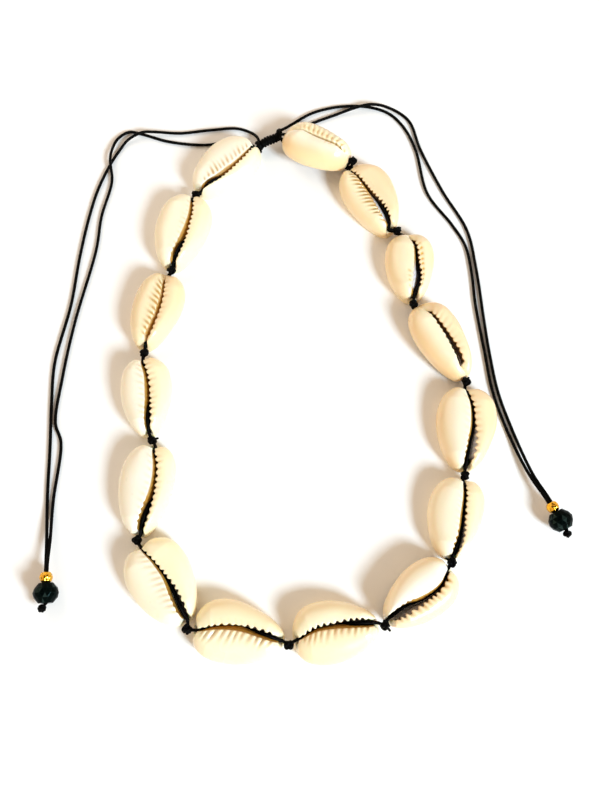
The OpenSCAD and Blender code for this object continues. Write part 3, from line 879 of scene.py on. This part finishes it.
def build_tails():
    """The four free tails."""
    radius = cord_radius()
    made = []
    for name, route in TAIL_ROUTES.items():
        where = name.split("_")[0]
        side = -1 if name.endswith("a") else 1
        route = [(*point, LIE)[:3] for point in route]
        line = smooth_line(route + drop_route(where, side), 0.7)
        line = [Vector((p.x, p.y, max(p.z, radius + 0.02))) for p in line]
        obj = cord_piece(name.replace("tail", "cord"), [line], radius)
        seat(obj, name)
        made.append((obj, line, where))
    return made


def declare_tails(made):
    for obj, line, where in made:
        kit("cord").diameter


# Heights of the strands and the knots, as in the source, in mm.
BACK_Z = 0.33 * 6.6 + GAP + 0.4
FRONT_Z = BACK_Z + 0.8 + GAP
KNOT_Z = (BACK_Z + FRONT_Z) / 2
# Shares of the shell's height at which the strand in the slits hides or passes under a
# closed end, and its distance from the slit's middle line there in mm.
HIDDEN = 0.44
UNDER_TIP = 0.36
TIGHT = 0.12
# Pulled tight through the shells, the strands are thinner than the tails.
FRONT_THIN = 0.86
BACK_THIN = 0.96


def way_in(shell, end, shut, level):
    """Points over the notch at an open end, or under the tip where the lips meet."""
    if shut > 0.5:
        return [shell.placed(end * shell.half * 0.98, 0, 1.0 + level),
                shell.placed(end * shell.half * 0.85, 0, 0.95 + level)]
    high = FRONT_Z if level > 0 else BACK_Z
    return [shell.inside(end * 0.95, 0, high), shell.inside(end * 0.84, 0, high + 0.1 + level)]


def strand(shell, level, rise, sink, middle, step):
    """A strand from the knot behind a shell, through its slit, to the knot before it."""
    rear, front = shell.look["shut_rear"], shell.look["shut_front"]
    return smooth_line([(shell.rear.x, shell.rear.y, KNOT_Z + rise - sink * rear)]
                       + way_in(shell, -1, rear, level)
                       + [shell.inside(*place) for place in middle]
                       + way_in(shell, 1, front, level)[::-1]
                       + [(shell.front.x, shell.front.y, KNOT_Z + rise - sink * front)], step)


def build_threads():
    """The strands through the shells: one shows in the slits, one runs below it."""
    front, back = [], []
    for shell in map(Shell, SHELLS):
        look = shell.look
        lean, shut = look["lean"], look["shut_rear"]
        show = look["show"] * shell.height
        low = mix(show, HIDDEN * shell.height, look["hide"])
        under = UNDER_TIP * shell.height
        front.append(strand(shell, 0.35, 0.25, 1.3, [
            (-0.80, TIGHT, mix(mix(low, show, 0.9), under, shut)),
            (-0.62, TIGHT, mix(mix(low, show, 0.3), under, shut)),
            (-0.42, TIGHT, mix(low, show, 0.1)), (-0.1, TIGHT, low),
            (0.2, mix(TIGHT, lean, 0.5), mix(low, show, 0.4)),
            (0.45, lean, show), (0.68, lean * 0.7, show)], 0.45))
        back.append(strand(shell, -0.35, -0.3, 1.2, [
            (0, 0.1, BACK_Z - 0.3), (0.40, lean, show - 1.0),
            (0.66, lean * 0.7, show - 0.95)], 0.6))
    radius = cord_radius()
    seat(cord_piece("cord_in_slits", front, radius * FRONT_THIN), "thread_front")
    seat(cord_piece("cord_behind", back, radius * BACK_THIN, 8), "thread_back")


def trefoil(size, turn, lean):
    """Points of a closed overhand loop of a given size, turned and leaned."""
    spin = Matrix.Rotation(lean, 3, "X") @ Matrix.Rotation(turn, 3, "Z")
    turns = [2 * math.pi * k / 48 for k in range(49)]
    return [spin @ Vector(((math.sin(a) + 2 * math.sin(2 * a)) / 3,
                           (math.cos(a) - 2 * math.cos(2 * a)) / 3,
                           -math.sin(3 * a) / 1.25)) * size for a in turns]


def knot_piece(name, at, heading, size, radius, seed, ends=()):
    """A small drawn knot of the doubled cord: two loops over a tight core."""
    spin = Matrix.Rotation(heading, 3, "Z")
    at = Vector(at)
    bm = bmesh.new()
    reach = size / 2 - radius
    for k in range(2):
        line = [at + spin @ p for p in trefoil(reach, seed * 1.3 + k * 1.05,
                                               0.5 * math.sin(seed * 2.1) + k * 1.2)]
        sweep(bm, line, radius, 8)
    for end in map(Vector, ends):
        line = [at + end.normalized() * (reach * 0.5 + d * end.length / 4)
                + Vector((0, 0, -0.05 * d * d)) for d in range(5)]
        sweep(bm, line, radius * 0.9, 8)
    close_ends(bm)
    core = bmesh.ops.create_icosphere(bm, subdivisions=3, radius=reach * 0.95)["verts"]
    bmesh.ops.translate(bm, verts=core, vec=at)
    to_metres(bm, core)
    face_out(bm)
    return link_mesh(name, bm, "waxed_cord")


# Short cut ends that stand out of some knots, in mm.
KNOT_ENDS = {
    4: [(0.9, 0.5, 0.1)], 8: [(-1.3, 0.5, 0.2), (0.9, -0.9, 0.0)],
    9: [(-1.0, 0.8, 0.2)], 13: [(0.7, 0.9, 0.1)], 14: [(-1.0, -0.7, 0.0)],
}


def build_knots():
    size = kit("cord").knot / MM
    for k in range(1, len(SHELL_ROWS)):
        before, after = knot_at(k - 1), knot_at(k + 1)
        heading = math.atan2(after.y - before.y, after.x - before.x)
        low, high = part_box(f"knot_{k:02d}")
        obj = knot_piece(f"small_knot_{k:02d}", (low + high) / 2 / MM, heading,
                         size * 1.08, cord_radius() * 0.85, k, KNOT_ENDS.get(k, ()))
        seat(obj, f"knot_{k:02d}")


# The sliding knot's bars, the height of its left end, its core's radius and its sag, in mm.
BARS = 12
SLIDE_Z = 2.4
CORE = 0.88
SAG = 0.45


def build_slide_knot():
    """Square knots tied round the core, between two lumps, with a cut end at the left."""
    radius = cord_radius()
    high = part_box("slide_knot")[1]
    a, b = knot_at(0), knot_at(15)
    a = Vector((a.x, a.y, SLIDE_Z))
    b = Vector((b.x, b.y, SLIDE_Z + (high.z / MM - 4.25)))
    axis = (b - a).normalized()
    side = Vector((-axis.y, axis.x, 0)).normalized()
    up = axis.cross(side)
    long = (b - a).length
    lines = []
    for way in (1, -1):
        line = []
        for k in range(BARS * 12 + 1):
            f = k / 12 / BARS
            swell = 0.86 + 0.1 * math.sin(math.pi * f)
            beat = math.pi * BARS * f
            line.append(a + side * (-SAG * smooth(0.3, 1.0, f))
                        + axis * (0.7 + (long - 1.7) * f)
                        + side * way * swell * math.cos(beat)
                        + up * way * swell * abs(math.sin(beat)) ** 0.8)
        lines.append((line, radius * 0.72))
    lines.append(([a + axis * (0.4 + (long - 0.9) * k / 12) - side * SAG * smooth(0.3, 1, k / 12)
                   for k in range(13)], CORE))
    # The left lump leans little, the right one stands tall and square to the photo's edge.
    tall = Vector((0.12, 1, 0)).normalized()
    for at, size, across in ((0.0, 1.05, side), (long - 0.35, 1.4, tall)):
        line = []
        for k in range(61):
            angle = 4 * math.pi * k / 60
            line.append(a + axis * (at + (k / 60 - 0.5) * 0.75)
                        + across * math.cos(angle) * size + up * math.sin(angle) * 0.95)
        lines.append((line, radius))
    stub = [a + side * -0.9, a + side * -1.5 + axis * -0.3, a + side * -2.1 + axis * -0.5]
    lines.append((smooth_line(stub, 0.3), radius * 0.85))
    bm = bmesh.new()
    for line, girth in lines:
        sweep(bm, line, girth)
    close_ends(bm)
    seat(link_mesh("sliding_knot", bm, "waxed_cord"), "slide_knot")


def hang_bead(bm, name, material, slot, where, along, smooth_faces=True):
    """Turns a bead's own Z to the cord's way and sets it on the drop."""
    turn = math.radians(DROPS[where][1])
    spin = Matrix.Rotation(turn, 3, "Z") @ Matrix.Rotation(math.pi / 2, 3, "Y")
    bmesh.ops.rotate(bm, verts=bm.verts, cent=(0, 0, 0), matrix=spin)
    bmesh.ops.translate(bm, verts=bm.verts, vec=drop_point(where, along, 0, BEAD_Z))
    to_metres(bm, bm.verts)
    obj = link_mesh(f"{name}_{where}", bm, material, smooth_faces)
    return seat(obj, f"{slot}_{where}")


def build_gold_bead(where):
    bm = bmesh.new()
    bmesh.ops.create_uvsphere(bm, u_segments=48, v_segments=48, radius=GOLD_D / 2)
    gone = [v for v in bm.verts if math.hypot(v.co.x, v.co.y) < BORE / 2 * 0.9]
    bmesh.ops.delete(bm, geom=gone, context="VERTS")
    rims = [e for e in bm.edges if e.is_boundary]
    bmesh.ops.bridge_loops(bm, edges=rims)
    face_out(bm)
    return hang_bead(bm, "gold_seed_bead", "polished_gold", "gold_bead", where, -GOLD_BACK)


# The rondelle's facets, the end faces' share of its radius, and its rings of corners, each
# turned by half a facet: place along it and share of the radius.
FACETS = 14
END_FACE = 0.56
RINGS = [(-0.5, END_FACE), (-0.24, 0.89), (0.0, 1.0), (0.24, 0.89), (0.5, END_FACE)]
# Where the noise is read that picks the facets painted with a glint, as of light from inside.
PAINTED_GLINT_SEED = {"left": 5.5, "right": 9.1}


def build_black_bead(where):
    """A faceted rondelle: belts of facets between small end faces, drilled through."""
    radius = kit("beads").rondelle / MM / 2
    bm = bmesh.new()
    for k, (z, share) in enumerate(RINGS):
        made = bmesh.ops.create_circle(bm, segments=FACETS, radius=radius * share)["verts"]
        bmesh.ops.rotate(bm, verts=made, cent=(0, 0, 0),
                         matrix=Matrix.Rotation(math.pi * k / FACETS, 3, "Z"))
        bmesh.ops.translate(bm, verts=made, vec=(0, 0, z * BLACK_LENGTH))
    bmesh.ops.convex_hull(bm, input=bm.verts)
    bmesh.ops.dissolve_limit(bm, angle_limit=math.radians(1), verts=bm.verts, edges=bm.edges)
    ends = [f for f in bm.faces if abs(f.normal.z) > 0.99]
    bmesh.ops.inset_individual(bm, faces=ends, thickness=radius * END_FACE - BORE / 2,
                               use_even_offset=True)
    ends = [f for f in bm.faces if abs(f.normal.z) > 0.99 and len(f.verts) == FACETS]
    holes = [e for f in ends for e in f.edges]
    bmesh.ops.delete(bm, geom=ends, context="FACES_ONLY")
    bmesh.ops.bridge_loops(bm, edges=holes)
    face_out(bm)
    sharp = [e for e in bm.edges if e.calc_face_angle(0) > 0.12]
    bmesh.ops.bevel(bm, geom=sharp, offset=0.045, offset_type="OFFSET", segments=1,
                    profile=0.5, affect="EDGES", material=-1)
    # Painted glints: picked large facets are lit as from inside, the bevels get a faint painted
    # edge highlight.
    glint = bm.faces.layers.float.new("glint")
    for face in bm.faces:
        middle = face.calc_center_median()
        lit = noise.noise(middle * 2.3 + Vector((0, 0, PAINTED_GLINT_SEED[where])))
        face[glint] = smooth(0.24, 0.36, lit) if face.calc_area() > 0.4 else 0.15
    return hang_bead(bm, "black_rondelle", "black_glass", "black_bead", where, 0, False)


def build_end_knot(where):
    left = where == "left"
    aside = -0.8 if left else -0.3
    at = drop_point(where, STOP_AHEAD - 0.1, aside, BEAD_Z)
    way = Vector(drop_point(where, -1.2, -aside, 0)) - Vector(drop_point(where, 0, 0, 0))
    obj = knot_piece(f"end_knot_cord_{where}", at, math.radians(DROPS[where][1]),
                     END_KNOT_D, cord_radius() * 0.9, 3 if left else 5,
                     [way, way + Vector((0.3, 0.1, 0.35)), way * 0.8 + Vector((0.1, 0.3, -0.3))])
    return seat(obj, f"end_knot_{where}")


# The photo's camera as fitted: film width and focal length in mm, and its place.
FILM = 36
FOCAL = 36
CAMERA_X = -1.6 * MM
CAMERA_Y = -66.8 * MM
CAMERA_NEAR = 5 * MM
TABLE_HALF = 1500 * MM
TABLE_DROP = 0.02 * MM
# Name, place, aim and size in metres, power and colour of each lamp.
LAMPS = [
    ("window", (0.60, -0.58, 0.56), (0, 0.01, 0), 0.30, 11.6, (0.82, 1.0, 1.14)),
    ("fill", (-0.18, 0.20, 0.20), (-0.03, 0.03, 0), 0.2, 0.2, (1.0, 0.92, 0.85)),
]
# The room's brightness by height, its tint and its power.
ROOM_SHADES = [(0.0, 1.0), (0.62, 1.0), (0.86, 0.10)]
ROOM_TINT = (1.0, 0.79, 0.58)
ROOM_POWER = 1.06


def add_lamp(name, place, aim, size, power, colour):
    lamp = bpy.data.lights.new(name, "AREA")
    lamp.shape = "DISK"
    lamp.size = size
    lamp.energy = power
    lamp.color = colour
    obj = link_object(name, lamp)
    obj.location = place
    obj.rotation_euler = (Vector(aim) - Vector(place)).to_track_quat("-Z", "Y").to_euler()


def add_camera(height, pitch):
    data = bpy.data.cameras.new("camera")
    data.sensor_fit = "AUTO"
    data.sensor_width = FILM
    data.lens = FOCAL
    data.clip_start = CAMERA_NEAR
    camera = link_object("camera", data)
    camera.location = (CAMERA_X, CAMERA_Y, height)
    camera.rotation_euler = (pitch, 0, 0)
    bpy.context.scene.camera = camera


def light_room():
    world = bpy.data.worlds.new("soft_room")
    world.use_nodes = True
    w = Wiring(world.node_tree)
    split = w.set(w.add("ShaderNodeSeparateXYZ"), Vector=w.coordinates("Generated"))
    ramp = w.set(w.add("ShaderNodeValToRGB"), Fac=split.outputs["Z"])
    ramp.color_ramp.elements.new(0.5)
    for element, (height, shade) in zip(ramp.color_ramp.elements, ROOM_SHADES):
        element.position = height
        element.color = (shade, shade, shade, 1)
    w.set(world.node_tree.nodes["Background"], Strength=ROOM_POWER,
          Color=w.blend(1.0, ramp.outputs["Color"], ROOM_TINT, "MULTIPLY"))
    bpy.context.scene.world = world


class NECKLACE_OT_stage(bpy.types.Operator):
    """Sets up the camera, the table and the light"""

    bl_idname = "necklace.stage"
    bl_label = "Stage"

    def execute(self, context):
        add_camera(kit("stage").camera_height, kit("stage").camera_pitch)
        bm = bmesh.new()
        bmesh.ops.create_grid(bm, x_segments=1, y_segments=1, size=TABLE_HALF)
        bmesh.ops.translate(bm, verts=bm.verts, vec=(0, 0, -TABLE_DROP))
        link_mesh("table", bm, "pale_table")
        for lamp in LAMPS:
            add_lamp(*lamp)
        light_room()
        context.scene.view_settings.view_transform = "Standard"
        return {"FINISHED"}


class NECKLACE_OT_tails(bpy.types.Operator):
    """Lays the four tails and strings their beads and end knots"""

    bl_idname = "necklace.tails"
    bl_label = "Tails and beads"

    def execute(self, context):
        made = build_tails()
        pieces = {where: [build_gold_bead(where), build_black_bead(where),
                          build_end_knot(where)] for where in DROPS}
        declare_tails(made)
        return {"FINISHED"}


class NECKLACE_OT_shells(bpy.types.Operator):
    """Makes the fifteen cut cowries"""

    bl_idname = "necklace.shells"
    bl_label = "Shells"

    def execute(self, context):
        for number in SHELLS:
            build_shell(number)
        return {"FINISHED"}


class NECKLACE_OT_threads(bpy.types.Operator):
    """Runs the two strands through the shells"""

    bl_idname = "necklace.threads"
    bl_label = "Strands in the shells"

    def execute(self, context):
        build_threads()
        return {"FINISHED"}


class NECKLACE_OT_knots(bpy.types.Operator):
    """Ties the small knots and the sliding knot"""

    bl_idname = "necklace.knots"
    bl_label = "Knots"

    def execute(self, context):
        build_knots()
        build_slide_knot()
        return {"FINISHED"}


class NECKLACE_PT_panel(bpy.types.Panel):
    """Lists the necklace's pieces"""

    bl_idname = "NECKLACE_PT_panel"
    bl_label = "Cowrie necklace"
    bl_space_type = "VIEW_3D"
    bl_region_type = "UI"
    bl_category = "Necklace"

    def draw(self, context):
        for name in ("shells", "cord", "beads", "stage"):
            box = self.layout.box()
            for key in kit(name).__annotations__:
                box.prop(kit(name), key)
        for name in ("stage", "tails", "shells", "threads", "knots"):
            self.layout.operator(f"necklace.{name}")


GROUPS = {"shells": NecklaceShells, "cord": NecklaceCord,
          "beads": NecklaceBeads, "stage": NecklaceStage}
CLASSES = (NecklaceShells, NecklaceCord, NecklaceBeads, NecklaceStage,
           NECKLACE_OT_stage, NECKLACE_OT_tails, NECKLACE_OT_shells,
           NECKLACE_OT_threads, NECKLACE_OT_knots, NECKLACE_PT_panel)


def register():
    for cls in CLASSES:
        bpy.utils.register_class(cls)
    for name, group in GROUPS.items():
        setattr(bpy.types.Scene, f"necklace_{name}", bpy.props.PointerProperty(type=group))


def unregister():
    for name in GROUPS:
        delattr(bpy.types.Scene, f"necklace_{name}")
    for cls in reversed(CLASSES):
        bpy.utils.unregister_class(cls)


def main():
    register()
    bpy.ops.necklace.stage()
    bpy.ops.necklace.tails()
    bpy.ops.necklace.shells()
    bpy.ops.necklace.threads()
    bpy.ops.necklace.knots()


if __name__ == "__main__":
    main()
